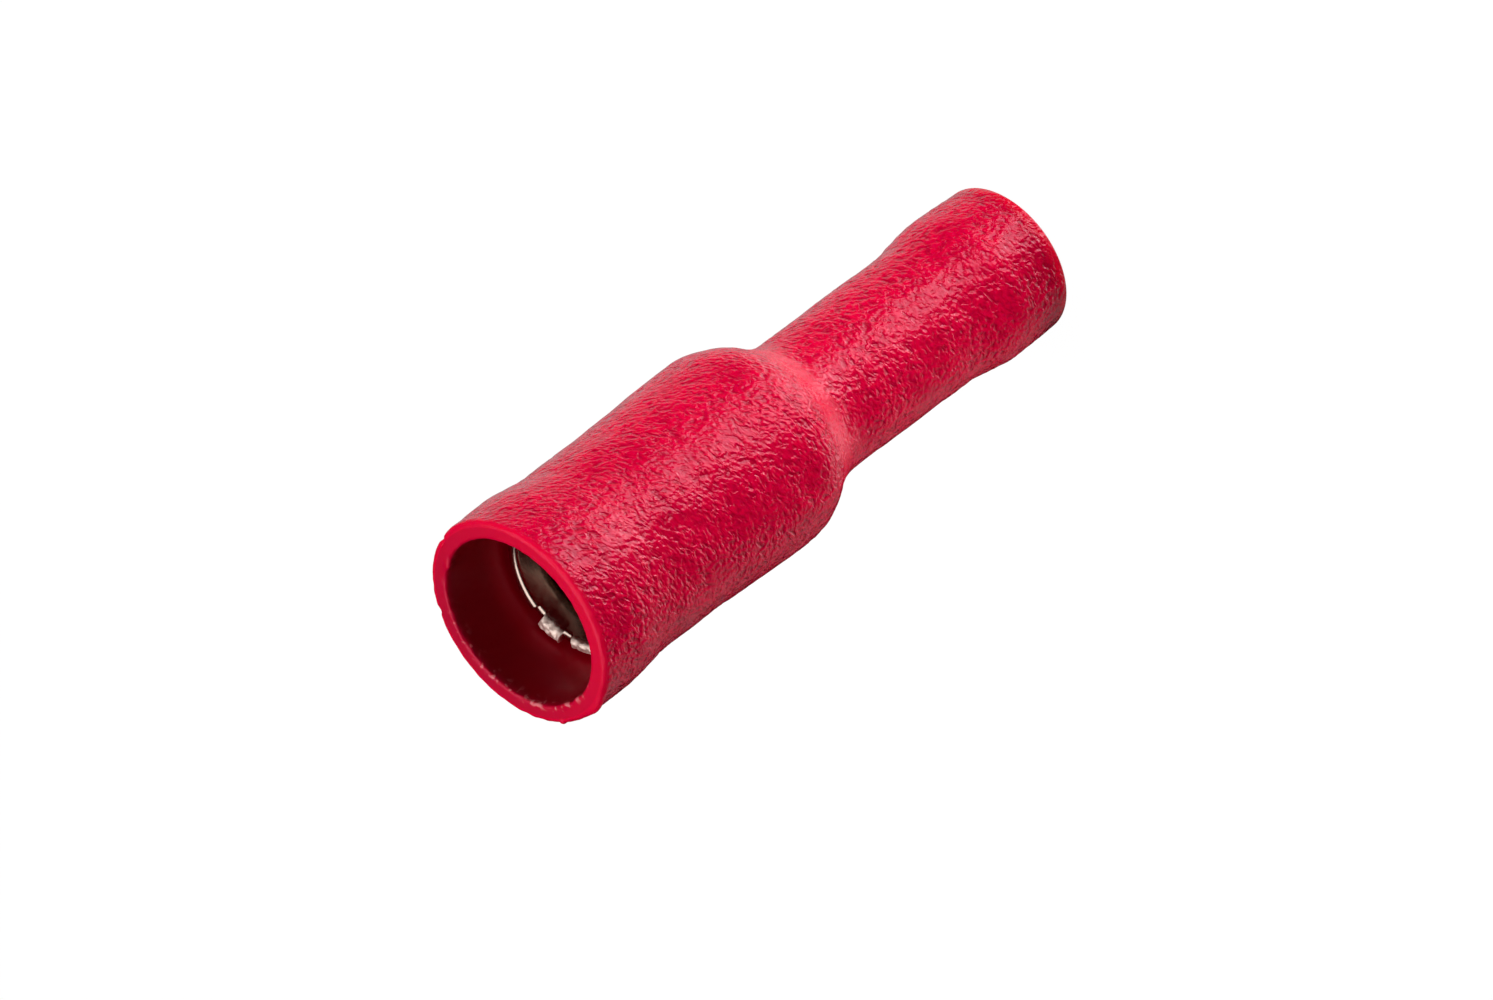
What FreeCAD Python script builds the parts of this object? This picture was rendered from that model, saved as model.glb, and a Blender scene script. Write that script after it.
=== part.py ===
import FreeCAD, Part
import math
import os

# Insulated snap plug wire terminal, female half, for a 4 mm round plug and a small crimped wire.
# A soft moulded sleeve covers a contact that is stamped from one strip of sheet and rolled round.
# The terminal stands on its wire end with its mouth up: Z is its axis and Z = 0 is the wire end's rim.
# All sizes are in millimetres and all angles in degrees.

# Contact, of one sheet. Its waist closes on the plug's neck, and the rest of the socket is wider.
sheet = 0.40
plug_neck_diameter = 3.80
snap_height = 0.15
contact_depth = 2.65
lead_in_angle = 22.0
lead_in_length = 0.90
waist_depth = 2.15
waist_land = 1.40
waist_ramp = 0.80
waist_round = 1.60
crimp_bore_diameter = 1.90
bend_radius = 0.40

# Contact, cuts in the sheet. Angles turn from X towards Y, and the seam is opposite the cut-off tab.
tab_angle = 108.5
tab_width = 0.95
tab_height = 0.12
relief_width = 0.42
relief_depth = 0.10
socket_seam_gap = 0.30
crimp_seam_gap = 0.10
trough_side = 0.35
trough_flare = 0.35
serration_count = 3
serration_width = 0.50
serration_depth = 0.07

# Sleeve, lengths along the axis. The neck takes what the two ends leave of the whole length.
sleeve_length = 24.7
wire_flare_length = 2.30
wire_taper_length = 1.70
bulge_length = 2.38
bulge_taper_length = 3.00
barrel_length = 3.10
lip_taper_length = 1.55
lip_length = 2.05

# Sleeve, walls and the room round the contact, all measured square to the axis
wall = 0.68
socket_room = 0.495
seat_clearance = 0.05
bulge_rise = 0.10
lip_rise = 0.195
neck_wall = 1.205

# Sleeve, shoulder and its rounds, whose top and foot each take a share of the slope
shoulder_angle = 36.5
shoulder_top_share = 0.47
shoulder_foot_share = 0.52
lip_round = 2.0

# Sleeve, wire entry
wire_entry_diameter = 4.30
wire_entry_depth = 3.30
entry_wall = 0.59
flare_wall = 0.66
flare_round = 2.5
funnel_angle = 45.0
throat_length = 0.30
rim_bevel = 0.10

# Distances from the axis
waist_radius = plug_neck_diameter / 2
socket_radius = waist_radius + snap_height
crimp_radius = crimp_bore_diameter / 2
crimp_outer_radius = crimp_radius + sheet
bore_radius = socket_radius + sheet + socket_room
barrel_radius = bore_radius + wall
bulge_radius = barrel_radius + bulge_rise
lip_radius = barrel_radius + lip_rise
neck_radius = crimp_outer_radius + neck_wall
entry_radius = wire_entry_diameter / 2
reach = 2 * lip_radius

# Heights
lip_bottom = sleeve_length - lip_length
barrel_top = lip_bottom - lip_taper_length
barrel_bottom = barrel_top - barrel_length
bulge_top = barrel_bottom - bulge_taper_length
bulge_bottom = bulge_top - bulge_length
rim_height = sleeve_length - contact_depth
funnel_rise = (entry_radius - crimp_radius) / math.tan(math.radians(funnel_angle))
crimp_bottom = wire_entry_depth + funnel_rise + throat_length

slope = math.radians(shoulder_angle)
up = FreeCAD.Vector(0, 0, 1)
centre_point = FreeCAD.Vector(0, 0, 0)


def rounded_edges(corners):
    """Edges of a closed outline in the XZ plane, whose corners are (distance from axis, height, round)."""
    points = [FreeCAD.Vector(radius, 0, height) for radius, height, _ in corners]
    count = len(points)
    spans = []
    for i, here in enumerate(points):
        back = (points[i - 1] - here).normalize()
        forward = (points[(i + 1) % count] - here).normalize()
        half_turn = (math.pi - back.getAngle(forward)) / 2
        round_radius = corners[i][2]
        if round_radius <= 0 or half_turn < 1e-4:
            spans.append((here, None, here))
            continue
        trim = round_radius * math.tan(half_turn)
        bisector = (back + forward).normalize()
        middle = here + bisector * (round_radius / math.cos(half_turn) - round_radius)
        spans.append((here + back * trim, middle, here + forward * trim))
    edges = []
    for i, (start, middle, end) in enumerate(spans):
        if middle is not None:
            edges.append(Part.Arc(start, middle, end).toShape())
        following = spans[(i + 1) % count][0]
        if (following - end).Length > 1e-6:
            edges.append(Part.LineSegment(end, following).toShape())
    return edges


def turned(corners, first_angle=0.0, sweep=360.0):
    """A solid made by turning a closed outline about the Z axis."""
    face = Part.Face(Part.Wire(rounded_edges(corners)))
    solid = face.revolve(centre_point, up, sweep)
    solid.rotate(centre_point, up, first_angle)
    return solid


def sheet_side(midline, offset):
    """One side of a bent sheet: its midline moved left by the offset, with every bend kept concentric."""
    points = [FreeCAD.Vector(radius, 0, height) for radius, height, _ in midline]
    directions = [(b - a).normalize() for a, b in zip(points, points[1:])]
    normals = [FreeCAD.Vector(-d.z, 0, d.x) for d in directions]
    before = [normals[0]] + normals
    after = normals + [normals[-1]]
    side = []
    for i, point in enumerate(points):
        bisector = (before[i] + after[i]).normalize()
        moved = point + bisector * (offset / bisector.dot(before[i]))
        bend = midline[i][2]
        if bend > 0:
            turns_left = before[i].cross(after[i]).y < 0
            bend += -offset if turns_left else offset
        side.append((moved.x, moved.z, bend))
    return side


def radial_slab(angle, width, low, high):
    """A flat block that runs out from the Z axis in one direction, as wide as the cut that it makes."""
    slab = Part.makeBox(reach, width, high - low, FreeCAD.Vector(0, -width / 2, low))
    slab.rotate(centre_point, up, angle)
    return slab


def inner_shoulder_height(radius, clearance=0.0):
    """Height, at a distance from the axis, of the slope that lies one wall in from the shoulder outside."""
    outside = bulge_bottom - (bulge_radius - radius) / math.tan(slope)
    return outside + (wall + clearance) / math.sin(slope)


def make_sleeve():
    """The moulded insulation: a wide barrel over the socket, a shoulder, a neck and a flared wire entry."""
    shoulder_length = (bulge_radius - neck_radius) / math.sin(slope)
    shoulder_foot = bulge_bottom - shoulder_length * math.cos(slope)
    share_to_round = shoulder_length / math.tan(slope / 2)
    mouth_radius = lip_radius - wall
    outside = [
        (entry_radius + entry_wall - rim_bevel, 0.0, 0.0),
        (entry_radius + entry_wall, rim_bevel, 0.0),
        (entry_radius + flare_wall, wire_flare_length, flare_round),
        (neck_radius, wire_flare_length + wire_taper_length, flare_round),
        (neck_radius, shoulder_foot, shoulder_foot_share * share_to_round),
        (bulge_radius, bulge_bottom, shoulder_top_share * share_to_round),
        (bulge_radius, bulge_top, 0.0),
        (barrel_radius, barrel_bottom, 0.0),
        (barrel_radius, barrel_top, lip_round),
        (lip_radius, lip_bottom, lip_round),
        (lip_radius, sleeve_length - rim_bevel, 0.0),
        (lip_radius - rim_bevel, sleeve_length, 0.0),
    ]
    inside = [
        (mouth_radius + rim_bevel, sleeve_length, 0.0),
        (mouth_radius, sleeve_length - rim_bevel, 0.0),
        (mouth_radius, lip_bottom, 0.0),
        (bore_radius, barrel_top, 0.0),
        (bore_radius, inner_shoulder_height(bore_radius), 0.0),
        (crimp_outer_radius, inner_shoulder_height(crimp_outer_radius), bend_radius + seat_clearance),
        (crimp_outer_radius, crimp_bottom, 0.0),
        (crimp_radius, crimp_bottom, 0.0),
        (crimp_radius, crimp_bottom - throat_length, 0.0),
        (entry_radius, wire_entry_depth, 0.0),
        (entry_radius, rim_bevel, 0.0),
        (entry_radius + rim_bevel, 0.0, 0.0),
    ]
    return turned(outside + inside)


def contact_midline():
    """The middle of the rolled sheet, from the crimp barrel's lower end up to the rim of the lead-in."""
    half = sheet / 2
    crimp_middle = crimp_radius + half
    socket_middle = socket_radius + half
    waist_middle = waist_radius + half
    rim_middle = socket_middle + lead_in_length * math.tan(math.radians(lead_in_angle))
    waist_top = rim_height - waist_depth
    waist_bottom = waist_top - waist_land
    lift = seat_clearance + half
    bend = bend_radius + half
    return [
        (crimp_middle, crimp_bottom, 0.0),
        (crimp_middle, inner_shoulder_height(crimp_middle, lift), bend),
        (socket_middle, inner_shoulder_height(socket_middle, lift), bend),
        (socket_middle, waist_bottom - waist_ramp, 0.0),
        (waist_middle, waist_bottom, waist_round),
        (waist_middle, waist_top, waist_round),
        (socket_middle, waist_top + waist_ramp, 0.0),
        (socket_middle, rim_height - lead_in_length, bend),
        (rim_middle, rim_height, 0.0),
    ]


def cut_off_tab(rim_middle):
    """The stub left where the part was sheared from its carrier strip. It stands a little above the rim."""
    sweep = math.degrees(tab_width / rim_middle)
    inner = rim_middle - sheet / 2
    outer = rim_middle + sheet / 2
    bottom = rim_height - sheet
    top = rim_height + tab_height
    corners = [(inner, bottom, 0.0), (outer, bottom, 0.0), (outer, top, 0.0), (inner, top, 0.0)]
    return turned(corners, tab_angle - sweep / 2, sweep)


def trough_window(low, high):
    """What is open between the rolled lengths, on the seam's side of the trough, and widens outwards."""
    corners = [
        FreeCAD.Vector(trough_side, 0, low),
        FreeCAD.Vector(reach, 0, low - trough_flare),
        FreeCAD.Vector(reach, 0, high + trough_flare),
        FreeCAD.Vector(trough_side, 0, high),
    ]
    face = Part.Face(Part.makePolygon(corners + corners[:1]))
    window = face.extrude(FreeCAD.Vector(0, 2 * reach, 0))
    window.translate(FreeCAD.Vector(0, -reach, 0))
    window.rotate(centre_point, up, tab_angle + 180)
    return window


def make_contact():
    """The plated contact: a split socket with a snap waist, an open trough and a serrated crimp barrel."""
    midline = contact_midline()
    rim_middle = midline[-1][0]
    crimp_top = midline[1][1]
    socket_bottom = midline[2][1]
    seam_angle = tab_angle + 180
    contact = turned(sheet_side(midline, -sheet / 2) + sheet_side(midline, sheet / 2)[::-1])
    contact = contact.fuse(cut_off_tab(rim_middle))

    cuts = [
        radial_slab(seam_angle, socket_seam_gap, socket_bottom, sleeve_length),
        radial_slab(seam_angle, crimp_seam_gap, 0.0, socket_bottom),
        trough_window(crimp_top, socket_bottom),
    ]
    relief_turn = math.degrees((tab_width + relief_width) / 2 / rim_middle)
    for angle in (tab_angle - relief_turn, tab_angle + relief_turn):
        cuts.append(radial_slab(angle, relief_width, rim_height - relief_depth, sleeve_length))
    pitch = (crimp_top - crimp_bottom) / (serration_count + 1)
    for i in range(serration_count):
        bottom = FreeCAD.Vector(0, 0, crimp_bottom + pitch * (i + 1) - serration_width / 2)
        cuts.append(Part.makeCylinder(crimp_radius + serration_depth, serration_width, bottom))
    for tool in cuts:
        contact = contact.cut(tool)
    return contact


os.makedirs("parts", exist_ok=True)
pieces = {
    "insulating_sleeve": make_sleeve(),
    "socket_contact": make_contact(),
}
for name, shape in pieces.items():
    solid = shape.Solids[0]
    print(name, "solids", len(shape.Solids), "valid", shape.isValid(), "volume", round(solid.Volume, 2))
    solid.exportStep(f"parts/{name}.step")
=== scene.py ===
import math

import bpy
import numpy as np
from mathutils import Matrix, Vector


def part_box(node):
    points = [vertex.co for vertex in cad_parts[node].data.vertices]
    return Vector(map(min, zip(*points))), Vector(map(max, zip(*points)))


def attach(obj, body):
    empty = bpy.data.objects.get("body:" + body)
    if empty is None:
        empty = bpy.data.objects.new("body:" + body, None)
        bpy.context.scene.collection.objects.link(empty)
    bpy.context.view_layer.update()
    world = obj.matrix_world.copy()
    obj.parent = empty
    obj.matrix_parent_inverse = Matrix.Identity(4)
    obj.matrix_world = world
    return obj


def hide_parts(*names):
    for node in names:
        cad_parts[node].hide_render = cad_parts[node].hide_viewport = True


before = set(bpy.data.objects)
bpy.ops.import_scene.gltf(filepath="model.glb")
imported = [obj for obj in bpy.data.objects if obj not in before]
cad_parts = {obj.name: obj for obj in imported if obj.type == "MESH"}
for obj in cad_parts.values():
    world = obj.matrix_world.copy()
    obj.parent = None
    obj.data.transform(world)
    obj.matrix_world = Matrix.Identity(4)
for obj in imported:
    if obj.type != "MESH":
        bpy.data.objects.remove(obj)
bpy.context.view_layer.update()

# Looks of an insulated snap plug terminal: a soft red sleeve over a rolled and plated contact.
# Lengths in the settings are millimetres, angles are degrees, and the meshes are made in metres.

mm = 0.001

sleeveLow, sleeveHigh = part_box("insulating_sleeve")
sleeveLength = (sleeveHigh.z - sleeveLow.z) / mm
lipRadius = sleeveHigh.x / mm


# Helpers for surfaces

def smoothStep(low, high, values):
    # 0 below low, 1 above high, and a soft S between them
    t = np.clip((values - low) / (high - low), 0, 1)
    return t * t * (3 - 2 * t)


def roundedPath(corners, closed, arcPoints=14):
    # corners are (radius, height, round); each corner is swapped for an arc of its round, tangent to both sides
    points = np.array([(r, z) for r, z, _ in corners], float)
    count = len(points)
    path = []
    for i, here in enumerate(points):
        size = corners[i][2]
        if size <= 0 or (not closed and i in (0, count - 1)):
            path.append(here[None, :])
            continue
        back = points[i - 1] - here
        onward = points[(i + 1) % count] - here
        back /= np.linalg.norm(back)
        onward /= np.linalg.norm(onward)
        halfTurn = (math.pi - math.acos(np.clip(back @ onward, -1, 1))) / 2
        middle = (back + onward) / np.linalg.norm(back + onward)
        centre = here + middle * size / math.cos(halfTurn)
        swing = np.linspace(-halfTurn, halfTurn, arcPoints)[:, None]
        across = (onward - back) / np.linalg.norm(onward - back)
        path.append(centre - middle * size * np.cos(swing) + across * size * np.sin(swing))
    path = np.vstack(path)
    if closed:
        path = np.vstack([path, path[:1]])
    return path


def spacedAlong(path, spacing, count):
    # walks the path with steps that are in proportion to the wanted spacing, and gives count points
    step = np.linalg.norm(np.diff(path, axis=0), axis=1)
    middle = (path[1:] + path[:-1]) / 2
    load = np.concatenate([[0], np.cumsum(step / spacing(middle))])
    wanted = np.linspace(0, load[-1], count)
    return np.stack([np.interp(wanted, load, path[:, k]) for k in (0, 1)], axis=1)


def sideways(path):
    # unit normals of a closed path in the (radius, height) plane, to its right
    along = np.roll(path, -1, axis=0) - np.roll(path, 1, axis=0)
    along /= np.linalg.norm(along, axis=1)[:, None]
    return np.stack([along[:, 1], -along[:, 0]], axis=1)


def waveField(points, length, seed, waves=56):
    # a sum of cosine waves of about one length in random directions, with a spread of 1
    random = np.random.default_rng(seed)
    heading = random.normal(size=(waves, 3))
    heading /= np.linalg.norm(heading, axis=1)[:, None]
    turns = heading * (2 * math.pi / (length * random.uniform(0.7, 1.4, waves)))[:, None]
    phase = random.uniform(0, 2 * math.pi, waves)
    return np.cos(points @ turns.T + phase).sum(axis=1) * math.sqrt(2 / waves)


def centreShift(height):
    # how far the moulded terminal's centre line bows towards +X, by height
    table = np.array([(0.0, -0.015), (8.0, -0.015), (11.0, -0.05), (12.4, 0.0), (13.4, 0.05), (14.7, 0.06),
                      (18.0, 0.03), (20.7, 0.0), (22.0, -0.05), (24.7, -0.08)])
    return np.interp(height, table[:, 0], table[:, 1])


def meshPiece(name, points, faces, marks=None):
    mesh = bpy.data.meshes.new(name)
    mesh.from_pydata((points * mm).tolist(), [], faces.tolist())
    mesh.shade_smooth()
    for label, values in (marks or {}).items():
        mesh.attributes.new(label, "FLOAT", "POINT").data.foreach_set("value", values.astype(np.float32))
    mesh.validate()
    piece = bpy.data.objects.new(name, mesh)
    bpy.context.scene.collection.objects.link(piece)
    return piece


def ringFaces(rows, columns):
    # quads of a grid whose rows and columns both close on themselves
    i = np.arange(rows)[:, None]
    j = np.arange(columns)[None, :]
    a = i * columns + j
    b = i * columns + (j + 1) % columns
    up = ((i + 1) % rows) * columns
    return np.stack([a, b, up + (j + 1) % columns, up + j], axis=-1).reshape(-1, 4)


# Insulating sleeve

sleeveShape = {
    "around": 288, "along": 340,
    "wireRimRadius": 2.74, "wireFlareRadius": 2.81, "wireFlareHeight": 2.30, "neckBottom": 4.00,
    "neckRadius": 2.555, "bulgeRadius": 3.725, "bulgeBottom": 12.62, "bulgeTop": 15.0,
    "barrelRadius": 3.625, "barrelBottom": 18.0, "lipLength": 2.05, "lipTaper": 1.55,
    "shoulderAngle": 36.5, "shoulderFootRound": 3.1, "shoulderTopRound": 2.8,
    "wall": 0.68, "boreRadius": 2.945, "boreStepHeight": 12.71, "neckBore": 1.36, "neckBoreTop": 10.55,
    "contactSeat": 4.79, "throatRadius": 0.95, "throatLength": 0.29, "entryRadius": 2.15, "entryDepth": 3.30,
    "edgeRound": 0.11, "lipRound": 0.20,
    "rimStep": 0.03, "outerStep": 0.092, "mouthStep": 0.2, "innerStep": 0.6,
    "lumpLength": 1.7, "lumpHeight": 0.010, "creaseLength": 0.62, "creaseHeight": 0.011,
    "edgeRaggedness": 0.005, "ragLength": 0.4, "outOfRound": 0.02, "ovalHeights": (19.0, 24.7),
    "edgeReach": 0.24, "rimGlowReach": 0.62,
    "paintedShadeSide": 85.0, "tornSide": 130.0,                        # azimuths of the side with painted shade and of the torn edge
    "footHeight": 11.5, "footReach": 0.5, "footCalm": 0.85,      # the smooth band at the foot of the shoulder
}

# small flaws of the moulded rim: angle round the mouth, width, rise along the axis, push outwards, at which edge
mouthFlaws = [
    {"angle": 12.0, "width": 0.16, "rise": -0.16, "push": -0.10, "edge": "outer"},
    {"angle": 59.8, "width": 0.14, "rise": -0.05, "push": -0.09, "edge": "outer"},
    {"angle": 24.0, "width": 0.22, "rise": 0.05, "push": -0.10, "edge": "inner"},
    {"angle": 158.4, "width": 0.10, "rise": 0.07, "push": 0.05, "edge": "outer"},
    {"angle": 168.0, "width": 0.30, "rise": 0.04, "push": -0.07, "edge": "inner"},
    {"angle": 181.0, "width": 0.24, "rise": 0.03, "push": -0.06, "edge": "inner"},
    {"angle": -171.0, "width": 0.55, "rise": 0.02, "push": 0.13, "edge": "outer"},
]


def sleevePath():
    s = sleeveShape
    top = sleeveLength
    lipBottom = top - s["lipLength"]
    taperBottom = lipBottom - s["lipTaper"]
    mouthRadius = lipRadius - s["wall"]
    slope = math.radians(s["shoulderAngle"])
    foot = s["bulgeBottom"] - (s["bulgeRadius"] - s["neckRadius"]) / math.tan(slope)
    edge = s["edgeRound"]
    corners = [
        (s["wireRimRadius"], 0.0, edge),
        (s["wireFlareRadius"], s["wireFlareHeight"], 2.5),
        (s["neckRadius"], s["neckBottom"], 2.5),
        (s["neckRadius"], foot, s["shoulderFootRound"]),
        (s["bulgeRadius"], s["bulgeBottom"], s["shoulderTopRound"]),
        (s["bulgeRadius"], s["bulgeTop"], 8.0),
        (s["barrelRadius"], s["barrelBottom"], 8.0),
        (s["barrelRadius"], taperBottom, 2.5),
        (lipRadius, lipBottom, 2.5),
        (lipRadius, top, s["lipRound"]),
        (mouthRadius, top, edge),
        (mouthRadius, lipBottom, 1.0),
        (s["boreRadius"], taperBottom, 1.0),
        (s["boreRadius"], s["boreStepHeight"], 0.3),
        (s["neckBore"], s["neckBoreTop"], 0.45),
        (s["neckBore"], s["contactSeat"], 0.05),
        (s["throatRadius"], s["contactSeat"], 0.05),
        (s["throatRadius"], s["contactSeat"] - s["throatLength"], 0.1),
        (s["entryRadius"], s["entryDepth"], 0.2),
        (s["entryRadius"], 0.0, edge),
    ]
    return roundedPath(corners, closed=True)


def sleeveSpacing(middle):
    # fine steps at the two rims, even ones outside, and long ones inside
    s = sleeveShape
    radius, height = middle[:, 0], middle[:, 1]
    outside = radius > np.where(height < 11.0, 2.4, 3.3)
    rim = (height > sleeveLength - 0.25) | (height < 0.2)
    inside = np.where(height > sleeveLength - 3.0, s["mouthStep"], s["innerStep"])
    return np.where(rim, s["rimStep"], np.where(outside, s["outerStep"], inside))


def makeSleeve():
    # a closed path (radius, height) carried round the Z axis, then moved along its own normals by the grain
    s = sleeveShape
    path = spacedAlong(sleevePath(), sleeveSpacing, s["along"] + 1)[:-1]
    normal = sideways(path)
    angle = np.arange(s["around"]) * 2 * math.pi / s["around"]
    radius, turn = np.meshgrid(path[:, 0], angle, indexing="ij")
    height = np.repeat(path[:, 1:2], s["around"], axis=1)
    normalOut = np.repeat(normal[:, 0:1], s["around"], axis=1)
    normalUp = np.repeat(normal[:, 1:2], s["around"], axis=1)
    points = np.stack([radius * np.cos(turn), radius * np.sin(turn), height], axis=-1).reshape(-1, 3)

    outside = (np.arange(s["along"]) < np.argmax(path[:, 1])) * 1.0
    calmFoot = 1 - s["footCalm"] * np.exp(-((path[:, 1] - s["footHeight"]) / s["footReach"]) ** 2)
    grained = outside * smoothStep(0.03, 0.22, path[:, 1]) * smoothStep(0.05, 0.3, sleeveLength - path[:, 1])
    grained = np.repeat(grained * calmFoot, s["around"])
    lump = waveField(points, s["lumpLength"], seed=11) * s["lumpHeight"]
    crease = 0.8 - np.abs(waveField(points, s["creaseLength"], seed=23))
    shift = grained * (lump + np.clip(crease, -0.8, 0.8) * s["creaseHeight"])

    nearMouth = smoothStep(0.5, 0.0, sleeveLength - height)
    outerEdge = nearMouth * smoothStep(s["edgeReach"], 0.05, lipRadius - radius)
    innerEdge = nearMouth * smoothStep(s["edgeReach"], 0.05, radius - (lipRadius - s["wall"]))
    innerEdge = innerEdge * (radius < lipRadius - 0.2)
    rise = np.zeros_like(height)
    push = np.zeros_like(height)
    for flaw in mouthFlaws:
        mask = outerEdge if flaw["edge"] == "outer" else innerEdge
        gap = np.angle(np.exp(1j * (turn - math.radians(flaw["angle"])))) * lipRadius
        bump = np.exp(-(gap / flaw["width"]) ** 2)
        rise += flaw["rise"] * bump * mask
        push += flaw["push"] * bump * mask
    rag = waveField(points, s["ragLength"], seed=5).reshape(height.shape) * s["edgeRaggedness"]
    rise += rag * (outerEdge + innerEdge)
    push += rag[::-1] * (outerEdge + innerEdge)
    oval = s["outOfRound"] * np.cos(2 * turn - 0.6) * smoothStep(*s["ovalHeights"], height)

    shift = shift.reshape(height.shape)
    finalRadius = radius + normalOut * shift + push + oval
    finalHeight = height + normalUp * shift + rise
    x = finalRadius * np.cos(turn) + centreShift(height)
    y = finalRadius * np.sin(turn)
    points = np.stack([x, y, finalHeight], axis=-1).reshape(-1, 3)
    faces = ringFaces(s["along"], s["around"])
    # the face has painted shade on its far side, and the moulding's inner edge is torn there
    paintedShadeMask = 0.5 + 0.5 * np.cos(turn - math.radians(s["paintedShadeSide"]))
    # painted shade: the bore's colour darkens inwards from the mouth
    paintedBoreShade = (1 - outside) * smoothStep(0.02, 0.35, sleeveLength - path[:, 1])
    torn = innerEdge * smoothStep(0.55, 0.9, 0.5 + 0.5 * np.cos(turn - math.radians(s["tornSide"])))
    # painted glow: the thin wire rim is lighter red, as if light came through it
    paintedRimGlow = smoothStep(s["rimGlowReach"], 0.08, path[:, 1]) * outside
    marks = {
        "grained": grained, "torn": torn.ravel(), "paintedShade": (paintedShadeMask * (1 - outside[:, None])).ravel(),
        "paintedRimGlow": np.repeat(paintedRimGlow, s["around"]), "paintedBoreShade": np.repeat(paintedBoreShade, s["around"]),
    }
    piece = meshPiece("sleeve_moulding", points, faces, marks)
    print("sleeve:", len(points), "points")
    return piece


# Socket contact

contactShape = {
    "columns": 260, "sideRows": 90, "rimRows": 6, "rowCrowding": 1.6, "columnCrowding": 2.6, "sheet": 0.40,
    "socketRadius": 2.05, "waistRadius": 1.90, "crimpRadius": 0.94, "rimDepth": 2.65,
    "leadIn": 22.0, "leadInLength": 0.90, "waistDepth": 2.15, "waistLand": 1.40, "waistRamp": 0.80,
    "crimpBottom": 4.82, "crimpTop": 10.56, "socketBottom": 12.27, "bend": 0.60,
    "tabAngle": 108.5, "tabWidth": 0.95, "tabRise": 0.10, "tabPush": 0.05, "reliefWidth": 0.42, "reliefDepth": 0.10,
    "socketSeam": 0.30, "crimpSeam": 0.10, "troughSide": 0.35, "outerRound": 0.05, "innerRound": 0.17,
    "serrations": 3, "serrationWidth": 0.50, "serrationDepth": 0.07,
    "extraRows": (5.72, 5.80, 7.42, 7.50),         # more rows at these heights of the sheet, where serrations end
    "cutSoftness": 0.035, "tornLength": 0.22, "tornRise": 0.014, "tornLift": 0.03, "tornEnd": (2.6, 2.2),
    "rimReach": 1.1, "uprightReach": (0.5, 0.1), "upright": 0.8, "pushReach": 0.6, "edgeReach": (0.32, 0.1),
}


def contactMiddle():
    # the middle of the sheet as a path (radius, height), from the crimp barrel's end to beyond the rim
    c = contactShape
    half = c["sheet"] / 2
    rim = sleeveLength - c["rimDepth"]
    socket = c["socketRadius"] + half
    waist = c["waistRadius"] + half
    waistTop = rim - c["waistDepth"]
    waistBottom = waistTop - c["waistLand"]
    lead = math.tan(math.radians(c["leadIn"]))
    corners = [
        (c["crimpRadius"] + half, c["crimpBottom"], 0.0),
        (c["crimpRadius"] + half, c["crimpTop"], c["bend"]),
        (socket, c["socketBottom"], c["bend"]),
        (socket, waistBottom - c["waistRamp"], 1.0),
        (waist, waistBottom, 1.0),
        (waist, waistTop, 1.0),
        (socket, waistTop + c["waistRamp"], 1.0),
        (socket, rim - c["leadInLength"], c["bend"]),
        (socket + c["leadInLength"] * lead, rim, 0.0),
    ]
    return roundedPath(corners, closed=False)


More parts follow.
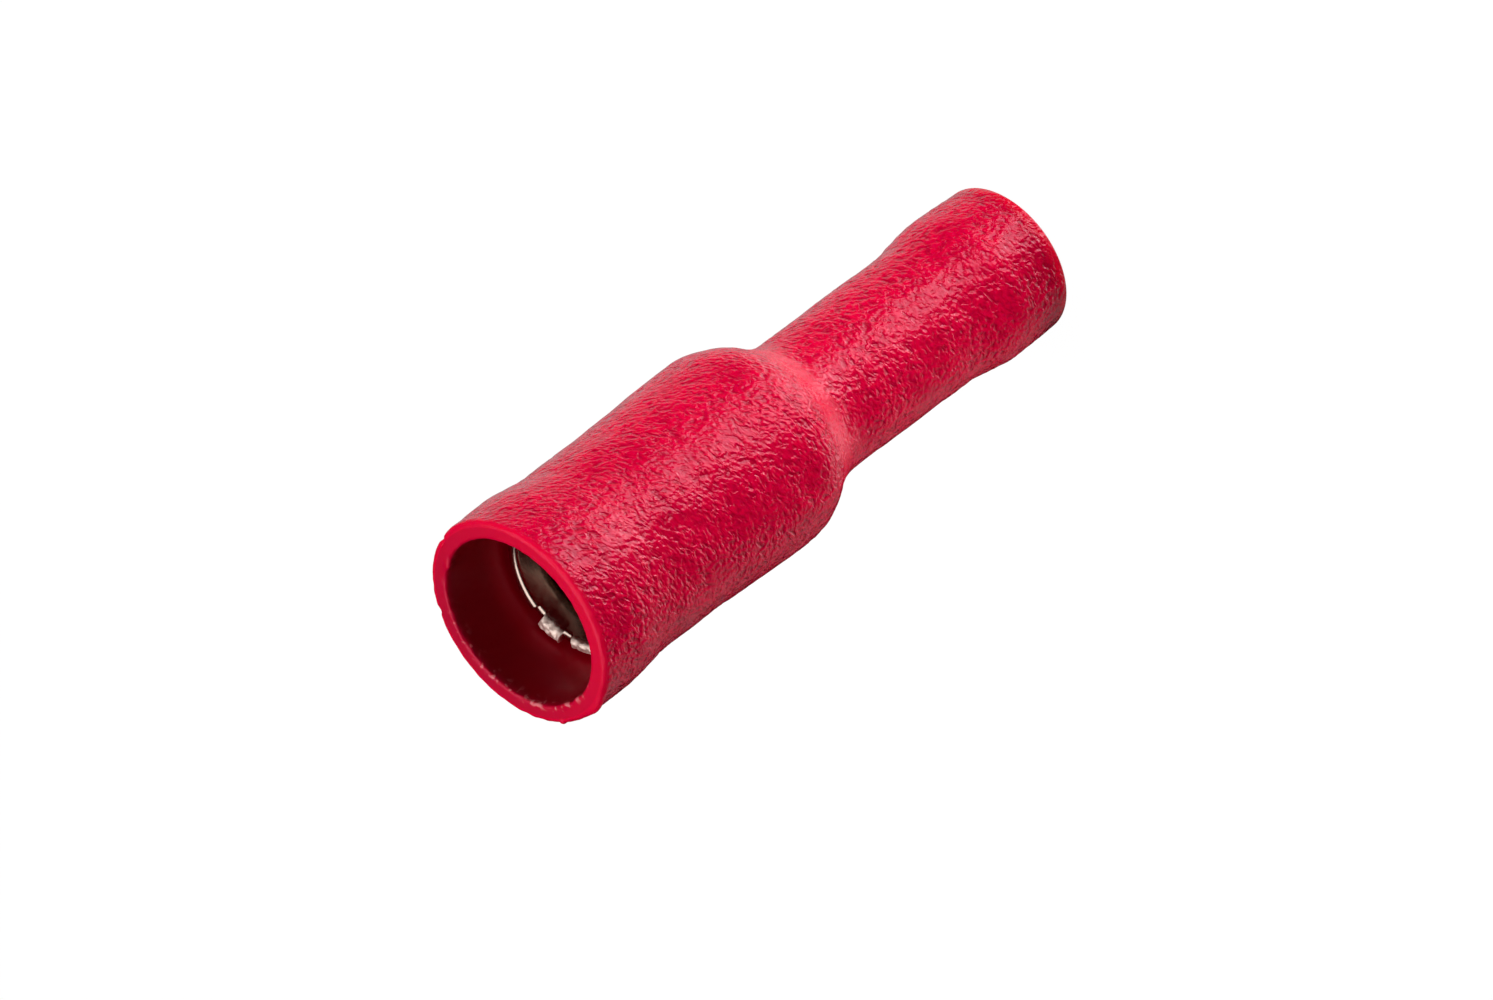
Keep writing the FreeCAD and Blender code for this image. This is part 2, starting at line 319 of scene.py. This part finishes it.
def makeContact():
    # the sheet's own section, up its outer side, over the rim and down its inner side, carried round the axis
    # from one edge of the seam to the other, with a rim whose height follows the notches and the cut-off tab
    c = contactShape
    half = c["sheet"] / 2
    middle = contactMiddle()
    travel = np.concatenate([[0], np.cumsum(np.linalg.norm(np.diff(middle, axis=0), axis=1))])
    length = travel[-1]
    direction = np.gradient(middle, travel, axis=0)
    bearing = np.unwrap(np.arctan2(direction[:, 1], direction[:, 0]))

    rows = c["sideRows"]
    share = np.linspace(0, 1, rows)
    # rows crowd together near the rim, and columns near the tab
    fromRim = length * (1 - share) ** c["rowCrowding"]
    outerDrop = np.sort(np.concatenate([fromRim, length - np.array(c["extraRows"])]))[::-1]
    rimShare = (np.arange(c["rimRows"]) + 0.5) / c["rimRows"]

    def thickness(drop, size):
        # how far a side of the sheet lies from its middle near the rim, where its edge is rounded
        near = np.clip(size - drop, 0, size)
        return half - size + np.sqrt(np.maximum(size ** 2 - near ** 2, 0))

    outerSide = thickness(outerDrop, c["outerRound"])
    innerSide = -thickness(outerDrop, c["innerRound"])
    rimSide = outerSide[-1] + (innerSide[-1] - outerSide[-1]) * rimShare
    drop = np.concatenate([outerDrop, np.zeros(c["rimRows"]), outerDrop[::-1]])
    side = np.concatenate([outerSide, rimSide, innerSide[::-1]])
    total = len(drop)

    q = np.linspace(-1, 1, c["columns"])
    q = np.sign(q) * (0.35 * np.abs(q) + 0.65 * np.abs(q) ** c["columnCrowding"])
    rimRadius = c["socketRadius"] + half + c["leadInLength"] * math.tan(math.radians(c["leadIn"]))

    dropGrid, qGrid = np.meshgrid(drop, q, indexing="ij")
    sideGrid = np.repeat(side[:, None], len(q), axis=1)
    arc = qGrid * math.pi * rimRadius
    soft = c["cutSoftness"]
    tab = smoothStep(c["tabWidth"] / 2 + soft, c["tabWidth"] / 2 - soft, np.abs(arc))
    reliefEnd = c["tabWidth"] / 2 + c["reliefWidth"]
    relief = smoothStep(reliefEnd + soft, reliefEnd - soft, np.abs(arc)) * (1 - tab)
    rough = smoothStep(reliefEnd - 0.02, reliefEnd + 0.06, arc) * smoothStep(*c["tornEnd"], arc)
    sheared = np.maximum(tab, rough)
    flat = np.stack([arc.ravel(), sideGrid.ravel() * 1.2, np.zeros(arc.size)], axis=1)
    noise = waveField(flat, c["tornLength"], seed=3).reshape(arc.shape)
    change = tab * c["tabRise"] - relief * c["reliefDepth"] + sheared * noise * c["tornRise"] + rough * c["tornLift"]
    blend = smoothStep(c["rimReach"], 0.0, dropGrid)
    at = length - dropGrid + change * blend
    r = np.interp(at, travel, middle[:, 0])
    z = np.interp(at, travel, middle[:, 1]) + np.maximum(at - length, 0)
    heading = np.interp(at, travel, bearing)
    # the tab stands nearly upright, while the rim beside it flares
    upright = tab * smoothStep(*c["uprightReach"], dropGrid)
    heading = heading + (math.pi / 2 - heading) * upright * c["upright"]
    serration = np.zeros_like(at)
    pitch = (c["crimpTop"] - c["crimpBottom"]) / (c["serrations"] + 1)
    for i in range(c["serrations"]):
        gap = np.abs(at - pitch * (i + 1))
        serration += smoothStep(c["serrationWidth"] / 2 + 0.03, c["serrationWidth"] / 2 - 0.03, gap)
    inner = sideGrid < 0
    sideGrid = sideGrid + np.where(inner, serration * c["serrationDepth"], 0)
    push = tab * c["tabPush"] * smoothStep(c["pushReach"], 0.0, dropGrid)
    r = r + np.sin(heading) * sideGrid + push
    z = z - np.cos(heading) * sideGrid

    inTrough = smoothStep(c["crimpTop"] - 0.03, c["crimpTop"] + 0.05, z) \
        * smoothStep(c["socketBottom"] + 0.03, c["socketBottom"] - 0.05, z)
    seam = np.where(z > (c["crimpTop"] + c["socketBottom"]) / 2, c["socketSeam"], c["crimpSeam"]) / 2
    openAngle = seam / r
    troughAngle = np.arccos(np.clip(c["troughSide"] / r, -1, 1))
    reach = math.pi - (openAngle + (troughAngle - openAngle) * inTrough)
    turn = math.radians(c["tabAngle"]) + qGrid * reach
    x = r * np.cos(turn) + centreShift(z)
    points = np.stack([x, r * np.sin(turn), z], axis=-1).reshape(-1, 3)

    columns = len(q)
    i = np.arange(total)[:, None]
    j = np.arange(columns - 1)[None, :]
    onward = ((i + 1) % total) * columns
    sheetFaces = np.stack([i * columns + j, onward + j, onward + j + 1, i * columns + j + 1], axis=-1).reshape(-1, 4)
    k = np.arange(total // 2 - 1)
    mirror = total - 1 - k
    first = np.stack([k, mirror, mirror - 1, k + 1], axis=-1) * columns
    last = (np.stack([k + 1, mirror - 1, mirror, k], axis=-1) * columns) + columns - 1
    faces = np.vstack([sheetFaces, first, last])[:, ::-1]
    edge = smoothStep(*c["edgeReach"], dropGrid)
    marks = {"sheared": (sheared * edge).ravel(), "rim": edge.ravel()}
    piece = meshPiece("contact_sheet", points, faces, marks)
    print("contact:", len(points), "points")
    return piece


# Materials

def makeGroup(name, inputs, outputs):
    # an empty shader group with named sockets, and the nodes that stand for its two ends
    group = bpy.data.node_groups.new(name, "ShaderNodeTree")
    for label, kind, value in inputs:
        socket = group.interface.new_socket(name=label, in_out="INPUT", socket_type=kind)
        if value is not None:
            socket.default_value = value
    for label, kind in outputs:
        group.interface.new_socket(name=label, in_out="OUTPUT", socket_type=kind)
    start = group.nodes.new("NodeGroupInput")
    end = group.nodes.new("NodeGroupOutput")
    return group, start, end


def mathNode(tree, operation, first, second=None, third=None, clamp=False):
    node = tree.nodes.new("ShaderNodeMath")
    node.operation = operation
    node.use_clamp = clamp
    for socket, value in zip(node.inputs, (first, second, third)):
        if value is None:
            continue
        if isinstance(value, (int, float)):
            socket.default_value = value
        else:
            tree.links.new(value, socket)
    return node.outputs[0]


def smoothNode(tree, value, low, high):
    node = tree.nodes.new("ShaderNodeMapRange")
    node.interpolation_type = "SMOOTHSTEP"
    tree.links.new(value, node.inputs["Value"])
    node.inputs["From Min"].default_value = low
    node.inputs["From Max"].default_value = high
    return node.outputs["Result"]


def vectorNode(tree, operation, vector, other=None):
    node = tree.nodes.new("ShaderNodeVectorMath")
    node.operation = operation
    tree.links.new(vector, node.inputs[0])
    if other is not None:
        node.inputs[1].default_value = other
    return node.outputs["Value" if operation == "DOT_PRODUCT" else "Vector"]


def noiseNode(tree, vector, scale, detail=2.0, roughness=0.5, distortion=0.0):
    node = tree.nodes.new("ShaderNodeTexNoise")
    tree.links.new(vector, node.inputs["Vector"])
    if isinstance(scale, (int, float)):
        node.inputs["Scale"].default_value = scale
    else:
        tree.links.new(scale, node.inputs["Scale"])
    node.inputs["Detail"].default_value = detail
    node.inputs["Roughness"].default_value = roughness
    node.inputs["Distortion"].default_value = distortion
    return node


# the noises of the wrinkled skin. Each scale is a multiple of the wrinkles per metre, and crestRound is the square
# of the distance within which a fold is rounded.
grain = {
    "twistScale": 1.2, "twistDetail": 2.0, "twistRoughness": 0.55, "twist": 0.4, "crestRound": 0.0006,
    "fineScale": 2.8, "fineDetail": 0.0, "patchScale": 0.32, "patchDetail": 2.0, "patchRoughness": 0.6,
    "patchRange": (0.36, 0.64),
}


def makeCreaseGroup():
    # height = (fine noise - fold * distance) * patches. The distance is how far a twisted noise is from its middle,
    # so a sharp ridge runs wherever it crosses that middle, and the patches leave calm places between rough ones.
    group, start, end = makeGroup("wrinkledSkin", [
        ("Vector", "NodeSocketVector", None),
        ("Wrinkles per Metre", "NodeSocketFloat", 2000.0),
        ("Fold", "NodeSocketFloat", 2.2),
        ("Fine", "NodeSocketFloat", 0.75),
        ("Calm", "NodeSocketFloat", 0.4),
    ], [("Height", "NodeSocketFloat")])
    vector = start.outputs["Vector"]
    scale = start.outputs["Wrinkles per Metre"]
    twistScale = mathNode(group, "MULTIPLY", scale, grain["twistScale"])
    twisted = noiseNode(group, vector, twistScale, grain["twistDetail"], grain["twistRoughness"], grain["twist"])
    offset = mathNode(group, "SUBTRACT", twisted.outputs["Fac"], 0.5)
    fold = mathNode(group, "SQRT", mathNode(group, "MULTIPLY_ADD", offset, offset, grain["crestRound"]))
    fold = mathNode(group, "MULTIPLY", fold, start.outputs["Fold"])
    fine = noiseNode(group, vector, mathNode(group, "MULTIPLY", scale, grain["fineScale"]), grain["fineDetail"])
    height = mathNode(group, "SUBTRACT", mathNode(group, "MULTIPLY", fine.outputs["Fac"], start.outputs["Fine"]), fold)
    patchScale = mathNode(group, "MULTIPLY", scale, grain["patchScale"])
    patch = noiseNode(group, vector, patchScale, grain["patchDetail"], grain["patchRoughness"])
    rough = smoothNode(group, patch.outputs["Fac"], *grain["patchRange"])
    calm = start.outputs["Calm"]
    amount = mathNode(group, "MULTIPLY_ADD", rough, mathNode(group, "SUBTRACT", 1.0, calm), calm)
    group.links.new(mathNode(group, "MULTIPLY", height, amount), end.inputs["Height"])
    return group


def makeMottleGroup():
    # soft uneven patches and fine specks. The middle of each noise is stretched to run from 0 to 1.
    group, start, end = makeGroup("unevenPatches", [
        ("Vector", "NodeSocketVector", None),
        ("Patches per Metre", "NodeSocketFloat", 500.0),
        ("Specks per Metre", "NodeSocketFloat", 6000.0),
    ], [("Patches", "NodeSocketFloat"), ("Specks", "NodeSocketFloat")])
    patch = noiseNode(group, start.outputs["Vector"], start.outputs["Patches per Metre"], 3.0, 0.6)
    speck = noiseNode(group, start.outputs["Vector"], start.outputs["Specks per Metre"], 1.0, 0.5)
    group.links.new(mathNode(group, "MULTIPLY_ADD", patch.outputs["Fac"], 2.4, -0.7, clamp=True), end.inputs["Patches"])
    group.links.new(mathNode(group, "MULTIPLY_ADD", speck.outputs["Fac"], 4.0, -1.6, clamp=True), end.inputs["Specks"])
    return group


def placeGroup(tree, group, vector, **values):
    node = tree.nodes.new("ShaderNodeGroup")
    node.node_tree = group
    tree.links.new(vector, node.inputs["Vector"])
    for label, value in values.items():
        node.inputs[label.replace("_", " ")].default_value = value
    return node


def mixColour(tree, amount, first, second):
    node = tree.nodes.new("ShaderNodeMix")
    node.data_type = "RGBA"
    tree.links.new(amount, node.inputs["Factor"])
    for socket, value in ((node.inputs["A"], first), (node.inputs["B"], second)):
        if isinstance(value, tuple):
            socket.default_value = value
        else:
            tree.links.new(value, socket)
    return node.outputs["Result"]


def addBump(tree, height, shader):
    bump = tree.nodes.new("ShaderNodeBump")
    bump.inputs["Strength"].default_value = 1.0
    bump.inputs["Distance"].default_value = 1.0
    tree.links.new(height, bump.inputs["Height"])
    tree.links.new(bump.outputs["Normal"], shader.inputs["Normal"])


def attributeNode(tree, label):
    node = tree.nodes.new("ShaderNodeAttribute")
    node.attribute_name = label
    return node.outputs["Fac"]


vinyl = {
    # the skin's folds with a painted highlight on its ridges, the cut mouth face with painted shade on its far side,
    # painted shade in the bore, torn flecks, and a painted glow on the thin wire rim
    "deepRed": (0.42, 0.0002, 0.024, 1.0), "paleAndHighlightRed": (0.73, 0.0004, 0.043, 1.0),
    "cutRed": (0.76, 0.0008, 0.040, 1.0), "cutPaintedShade": (0.50, 0.0012, 0.030, 1.0),
    "boreShadeRed": (0.43, 0.0001, 0.010, 1.0), "fleck": (0.80, 0.20, 0.22, 1.0), "rimGlowRed": (0.98, 0.0030, 0.040, 1.0),
    "patchesPerMetre": 700.0, "specksPerMetre": 9000.0, "flecksPerMetre": 3600.0, "fleckRange": (0.54, 0.66),
    # the grain, its slant in radians round the axis per metre of height, the heights of its folds and ridges, and the
    # painted highlight that pales the ridges
    "wrinklesPerMetre": 2100.0, "slantPerMetre": -120.0, "drawnOut": (1.0, 1.0, 1.1), "fold": 2.3, "fine": 0.7,
    "calm": 0.5, "grainDepth": 0.000090, "smoothDepth": 0.000004, "ridgeHighlightRange": (-0.15, 0.32), "ridgeHighlightShare": 0.8,
    "roughness": (0.05, 0.11), "cutRoughness": 0.36, "glossTint": (1.0, 0.50, 0.66, 1.0),
    "glow": 0.3, "glowReach": (1.0, 0.10, 0.12), "glowScale": 0.00030,
}


def makeVinyl(wrinkles, mottle):
    material = bpy.data.materials.new("red_vinyl")
    material.use_nodes = True
    tree = material.node_tree
    shader = tree.nodes["Principled BSDF"]
    position = tree.nodes.new("ShaderNodeTexCoord").outputs["Object"]
    grained = attributeNode(tree, "grained")
    # the pattern turns round the axis as it rises, so its folds slant
    heights = tree.nodes.new("ShaderNodeSeparateXYZ")
    tree.links.new(position, heights.inputs[0])
    slanted = tree.nodes.new("ShaderNodeVectorRotate")
    slanted.rotation_type = "Z_AXIS"
    tree.links.new(position, slanted.inputs["Vector"])
    tree.links.new(mathNode(tree, "MULTIPLY", heights.outputs["Z"], vinyl["slantPerMetre"]), slanted.inputs["Angle"])
    drawnOut = vectorNode(tree, "MULTIPLY", slanted.outputs["Vector"], vinyl["drawnOut"])
    skin = placeGroup(tree, wrinkles, drawnOut, Wrinkles_per_Metre=vinyl["wrinklesPerMetre"],
                      Fold=vinyl["fold"], Fine=vinyl["fine"], Calm=vinyl["calm"])
    patches = placeGroup(tree, mottle, position, Patches_per_Metre=vinyl["patchesPerMetre"],
                         Specks_per_Metre=vinyl["specksPerMetre"])

    # painted highlight: the skin's ridges are paler, and random pale patches are mixed in
    ridgeHighlight = smoothNode(tree, skin.outputs["Height"], *vinyl["ridgeHighlightRange"])
    ridgeHighlight = mathNode(tree, "MULTIPLY", ridgeHighlight, vinyl["ridgeHighlightShare"])
    patchesAndHighlight = mathNode(tree, "MULTIPLY_ADD", patches.outputs["Patches"], 1.0 - vinyl["ridgeHighlightShare"], ridgeHighlight)
    skinTone = mixColour(tree, patchesAndHighlight, vinyl["deepRed"], vinyl["paleAndHighlightRed"])
    # painted shade: the mouth face is darker on its far side
    cutTone = mixColour(tree, attributeNode(tree, "paintedShade"), vinyl["cutRed"], vinyl["cutPaintedShade"])
    # painted shade deep in the bore
    cutTone = mixColour(tree, attributeNode(tree, "paintedBoreShade"), cutTone, vinyl["boreShadeRed"])
    speckled = noiseNode(tree, position, vinyl["flecksPerMetre"], 1.0)
    flecks = smoothNode(tree, speckled.outputs["Fac"], *vinyl["fleckRange"])
    flecks = mathNode(tree, "MULTIPLY", flecks, attributeNode(tree, "torn"))
    cutTone = mixColour(tree, flecks, cutTone, vinyl["fleck"])
    tone = mixColour(tree, grained, cutTone, skinTone)
    # painted glow on the thin wire rim
    tone = mixColour(tree, attributeNode(tree, "paintedRimGlow"), tone, vinyl["rimGlowRed"])
    tree.links.new(tone, shader.inputs["Base Color"])
    low, high = vinyl["roughness"]
    skinRoughness = mathNode(tree, "MULTIPLY_ADD", patches.outputs["Specks"], high - low, low)
    difference = mathNode(tree, "SUBTRACT", skinRoughness, vinyl["cutRoughness"])
    roughness = mathNode(tree, "MULTIPLY_ADD", difference, grained, vinyl["cutRoughness"])
    tree.links.new(roughness, shader.inputs["Roughness"])

    depth = mathNode(tree, "MULTIPLY_ADD", grained, vinyl["grainDepth"] - vinyl["smoothDepth"], vinyl["smoothDepth"])
    addBump(tree, mathNode(tree, "MULTIPLY", skin.outputs["Height"], depth), shader)
    shader.inputs["Subsurface Weight"].default_value = vinyl["glow"]
    shader.inputs["Subsurface Radius"].default_value = vinyl["glowReach"]
    shader.inputs["Subsurface Scale"].default_value = vinyl["glowScale"]
    shader.inputs["Specular Tint"].default_value = vinyl["glossTint"]
    return material


plating = {
    "tin": (0.42, 0.31, 0.26, 1.0), "dull": (0.30, 0.22, 0.18, 1.0), "bare": (0.96, 0.79, 0.70, 1.0),
    "patchesPerMetre": 1400.0, "specksPerMetre": 14000.0, "roughness": (0.16, 0.24), "shearedRoughness": 0.58,
    "rimShine": 0.15, "scratchDepth": 0.0000004, "shearDepth": 0.000006,
}


def makePlating(mottle):
    material = bpy.data.materials.new("tinned_sheet")
    material.use_nodes = True
    tree = material.node_tree
    shader = tree.nodes["Principled BSDF"]
    position = tree.nodes.new("ShaderNodeTexCoord").outputs["Object"]
    sheared = attributeNode(tree, "sheared")
    patches = placeGroup(tree, mottle, position, Patches_per_Metre=plating["patchesPerMetre"],
                         Specks_per_Metre=plating["specksPerMetre"])
    tone = mixColour(tree, patches.outputs["Patches"], plating["tin"], plating["dull"])
    # painted sheen: the rim is lightened towards bare metal, while the sheared edges are real bare metal
    rim = mathNode(tree, "MULTIPLY", attributeNode(tree, "rim"), plating["rimShine"])
    bareAndSheen = mathNode(tree, "MAXIMUM", sheared, rim)
    tree.links.new(mixColour(tree, bareAndSheen, tone, plating["bare"]), shader.inputs["Base Color"])
    low, high = plating["roughness"]
    plain = mathNode(tree, "MULTIPLY_ADD", patches.outputs["Specks"], high - low, low)
    extra = mathNode(tree, "MULTIPLY", mathNode(tree, "SUBTRACT", plating["shearedRoughness"], plain), sheared)
    tree.links.new(mathNode(tree, "ADD", plain, extra), shader.inputs["Roughness"])
    depth = mathNode(tree, "MULTIPLY_ADD", sheared, plating["shearDepth"], plating["scratchDepth"])
    addBump(tree, mathNode(tree, "MULTIPLY", patches.outputs["Specks"], depth), shader)
    shader.inputs["Metallic"].default_value = 1.0
    return material


# Floor, lamps and camera

floorLook = {
    "radius": 0.45, "sides": 96, "paint": (0.55, 0.55, 0.55, 1.0), "whiteShare": 0.94, "white": 1.05, "lift": 0.08,
}


def makeFloor():
    # a round white floor. The camera sees it nearly white, a gloss sees the studio through it, and it lights
    # the terminal from below like pale paint.
    f = floorLook
    angle = np.linspace(0, 2 * math.pi, f["sides"], endpoint=False)
    ring = np.stack([np.cos(angle), np.sin(angle), np.zeros(f["sides"])], axis=1) * f["radius"]
    mesh = bpy.data.meshes.new("floor")
    mesh.from_pydata(ring.tolist(), [], [list(range(f["sides"]))])
    floor = bpy.data.objects.new("floor", mesh)
    bpy.context.scene.collection.objects.link(floor)

    material = bpy.data.materials.new("floor_white")
    material.use_nodes = True
    tree = material.node_tree
    tree.nodes.clear()
    output = tree.nodes.new("ShaderNodeOutputMaterial")
    paint = tree.nodes.new("ShaderNodeBsdfDiffuse")
    paint.inputs["Color"].default_value = f["paint"]
    lift = tree.nodes.new("ShaderNodeEmission")
    lift.inputs["Strength"].default_value = f["lift"]
    lit = tree.nodes.new("ShaderNodeAddShader")
    tree.links.new(paint.outputs[0], lit.inputs[0])
    tree.links.new(lift.outputs[0], lit.inputs[1])
    white = tree.nodes.new("ShaderNodeEmission")
    white.inputs["Strength"].default_value = f["white"]
    path = tree.nodes.new("ShaderNodeLightPath")

    seen = tree.nodes.new("ShaderNodeMixShader")
    seen.inputs["Fac"].default_value = f["whiteShare"]
    tree.links.new(paint.outputs[0], seen.inputs[1])
    tree.links.new(white.outputs[0], seen.inputs[2])
    clear = tree.nodes.new("ShaderNodeBsdfTransparent")

    gloss = mathNode(tree, "MAXIMUM", path.outputs["Is Glossy Ray"], path.outputs["Is Transmission Ray"])
    other = tree.nodes.new("ShaderNodeMixShader")
    tree.links.new(gloss, other.inputs["Fac"])
    tree.links.new(lit.outputs[0], other.inputs[1])
    tree.links.new(clear.outputs[0], other.inputs[2])
    final = tree.nodes.new("ShaderNodeMixShader")
    tree.links.new(path.outputs["Is Camera Ray"], final.inputs["Fac"])
    tree.links.new(other.outputs[0], final.inputs[1])
    tree.links.new(seen.outputs[0], final.inputs[2])
    tree.links.new(final.outputs[0], output.inputs["Surface"])
    material.cycles.emission_sampling = "NONE"
    mesh.materials.append(material)
    return floor


# what a gloss shows of the studio. Each pool of light has its heading, half its width and the softness of its edge
# in degrees, and its strength. The pools fade towards the horizon. A lid of light lies straight below, and a ceiling
# straight above. All are given by how far down a ray goes: 0 at the horizon, 1 straight down and -1 straight up.
worldLook = {
    "soft": 0.04,
    "pools": [(-69.0, 22.0, 7.0, 3.6), (46.0, 32.0, 20.0, 0.55), (150.0, 26.0, 14.0, 0.25)],
    "poolFade": (0.05, 0.55), "poolLeast": 0.02,
    "lid": (0.78, 0.97), "lidStrength": 0.95, "ceiling": (-0.68, -0.86), "ceilingStrength": 2.2,
}


def studioLight(tree, direction):
    # strength = (sum of the pools) * fade + lid + ceiling
    w = worldLook
    heading = vectorNode(tree, "NORMALIZE", vectorNode(tree, "MULTIPLY", direction, (1.0, 1.0, 0.0)))
    down = vectorNode(tree, "DOT_PRODUCT", vectorNode(tree, "NORMALIZE", direction), (0.0, 0.0, -1.0))
    total = None
    for bearing, half, soft, strength in w["pools"]:
        turn = math.radians(bearing)
        facing = vectorNode(tree, "DOT_PRODUCT", heading, (math.cos(turn), math.sin(turn), 0.0))
        edges = [math.cos(math.radians(half + side * soft)) for side in (1, -1)]
        pool = mathNode(tree, "MULTIPLY", smoothNode(tree, facing, *edges), strength)
        total = pool if total is None else mathNode(tree, "ADD", total, pool)
    fade = smoothNode(tree, down, *w["poolFade"])
    fade = mathNode(tree, "MULTIPLY_ADD", fade, 1.0 - w["poolLeast"], w["poolLeast"])
    lid = mathNode(tree, "MULTIPLY", smoothNode(tree, down, *w["lid"]), w["lidStrength"])
    ceiling = mathNode(tree, "MULTIPLY", smoothNode(tree, down, *w["ceiling"]), w["ceilingStrength"])
    return mathNode(tree, "MULTIPLY_ADD", total, fade, mathNode(tree, "ADD", lid, ceiling))


def makeWorld():
    # white to the camera, the studio's lights to a gloss, and otherwise a faint light from all round
    world = bpy.data.worlds.new("studio")
    bpy.context.scene.world = world
    world.use_nodes = True
    tree = world.node_tree
    background = tree.nodes["Background"]
    background.inputs["Color"].default_value = (1.0, 1.0, 1.0, 1.0)
    world.cycles.sampling_method = "NONE"
    path = tree.nodes.new("ShaderNodeLightPath")
    gloss = mathNode(tree, "MAXIMUM", path.outputs["Is Glossy Ray"], path.outputs["Is Transmission Ray"])
    light = studioLight(tree, tree.nodes.new("ShaderNodeTexCoord").outputs["Object"])
    soft = mathNode(tree, "MULTIPLY", mathNode(tree, "SUBTRACT", 1.0, gloss), worldLook["soft"])
    seen = mathNode(tree, "MULTIPLY_ADD", light, gloss, soft)
    tree.links.new(mathNode(tree, "MAXIMUM", path.outputs["Is Camera Ray"], seen), background.inputs["Strength"])


# each lamp is a soft panel: heading, distance and height of its middle from the wire end, how far its face is
# tilted down (-90 shines straight up), its width and length, and its brightness. No gloss shows a lamp, because
# the studio's own pools stand for them there.
lamps = {
    "floorFront": (-60.0, 40.5, 0.4, -90.0, 60.0, 74.0, 0.74),
    "floorBack": (150.0, 40.5, 0.4, -90.0, 46.0, 74.0, 1.7),
    "lowWall": (-56.0, 60.0, 13.0, 0.0, 110.0, 24.0, 3.9),
    "leftWall": (30.0, 60.0, 13.0, 0.0, 60.0, 24.0, 1.6),
    "highRight": (20.0, 96.4, 126.9, 50.0, 80.0, 80.0, 1.6),
    "overhead": (0.0, 0.0, 170.0, 90.0, 80.0, 80.0, 8.4),
}


def makeLamps():
    for name, (heading, distance, height, tilt, width, length, brightness) in lamps.items():
        data = bpy.data.lights.new(name, "AREA")
        data.shape = "RECTANGLE"
        data.size, data.size_y = width * mm, length * mm
        data.energy = brightness * math.pi * data.size * data.size_y
        light = bpy.data.objects.new(name, data)
        outward = Vector((math.cos(math.radians(heading)), math.sin(math.radians(heading)), 0.0))
        above = Vector((0.0, 0.0, 1.0))
        back = outward * math.cos(math.radians(tilt)) + above * math.sin(math.radians(tilt))
        across = above.cross(outward)
        turn = Matrix((across, back.cross(across), back)).transposed().to_4x4()
        light.matrix_world = Matrix.Translation((outward * distance + above * height) * mm) @ turn
        light.visible_camera = False
        light.visible_glossy = False
        bpy.context.scene.collection.objects.link(light)


view = {
    "elevation": 35.275, "distance": 1300.0, "frameWidth": 49.69,
    "axisRight": -0.59665, "axisUp": 0.80250,      # image directions of the terminal's +X
    "aimRight": -8.604, "aimUp": -8.035,           # from the wire end's centre to the picture's centre
    "sensorWidth": 36.0,
}


def makeCamera():
    # far away with a long lens, and rolled so that the terminal lies across the picture
    v = view
    tilt = math.radians(v["elevation"])
    ahead = Vector((0.0, math.cos(tilt), -math.sin(tilt)))
    level = Vector((0.0, math.sin(tilt), math.cos(tilt)))
    side = Vector((1.0, 0.0, 0.0))
    right = side * v["axisRight"] - level * v["axisUp"]
    up = side * v["axisUp"] + level * v["axisRight"]
    target = (right * v["aimRight"] + up * v["aimUp"]) * mm
    place = target - ahead * v["distance"] * mm
    camera = bpy.data.objects.new("camera", bpy.data.cameras.new("camera"))
    camera.matrix_world = Matrix.Translation(place) @ Matrix((right, up, -ahead)).transposed().to_4x4()
    camera.data.sensor_width = v["sensorWidth"]
    camera.data.lens = v["sensorWidth"] * v["distance"] / v["frameWidth"]
    camera.data.clip_start = 0.01
    bpy.context.scene.collection.objects.link(camera)
    bpy.context.scene.camera = camera


makeCamera()
print("camera placed")

wrinkledSkin = makeCreaseGroup()
unevenPatches = makeMottleGroup()
redVinyl = makeVinyl(wrinkledSkin, unevenPatches)
tinnedSheet = makePlating(unevenPatches)

sleeve = makeSleeve()
sleeve.data.materials.append(redVinyl)
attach(sleeve, "root")
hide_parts("insulating_sleeve")

contact = makeContact()
contact.data.materials.append(tinnedSheet)
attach(contact, "root")
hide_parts("socket_contact")

makeFloor()
makeWorld()
makeLamps()
bpy.context.scene.view_settings.view_transform = "Standard"
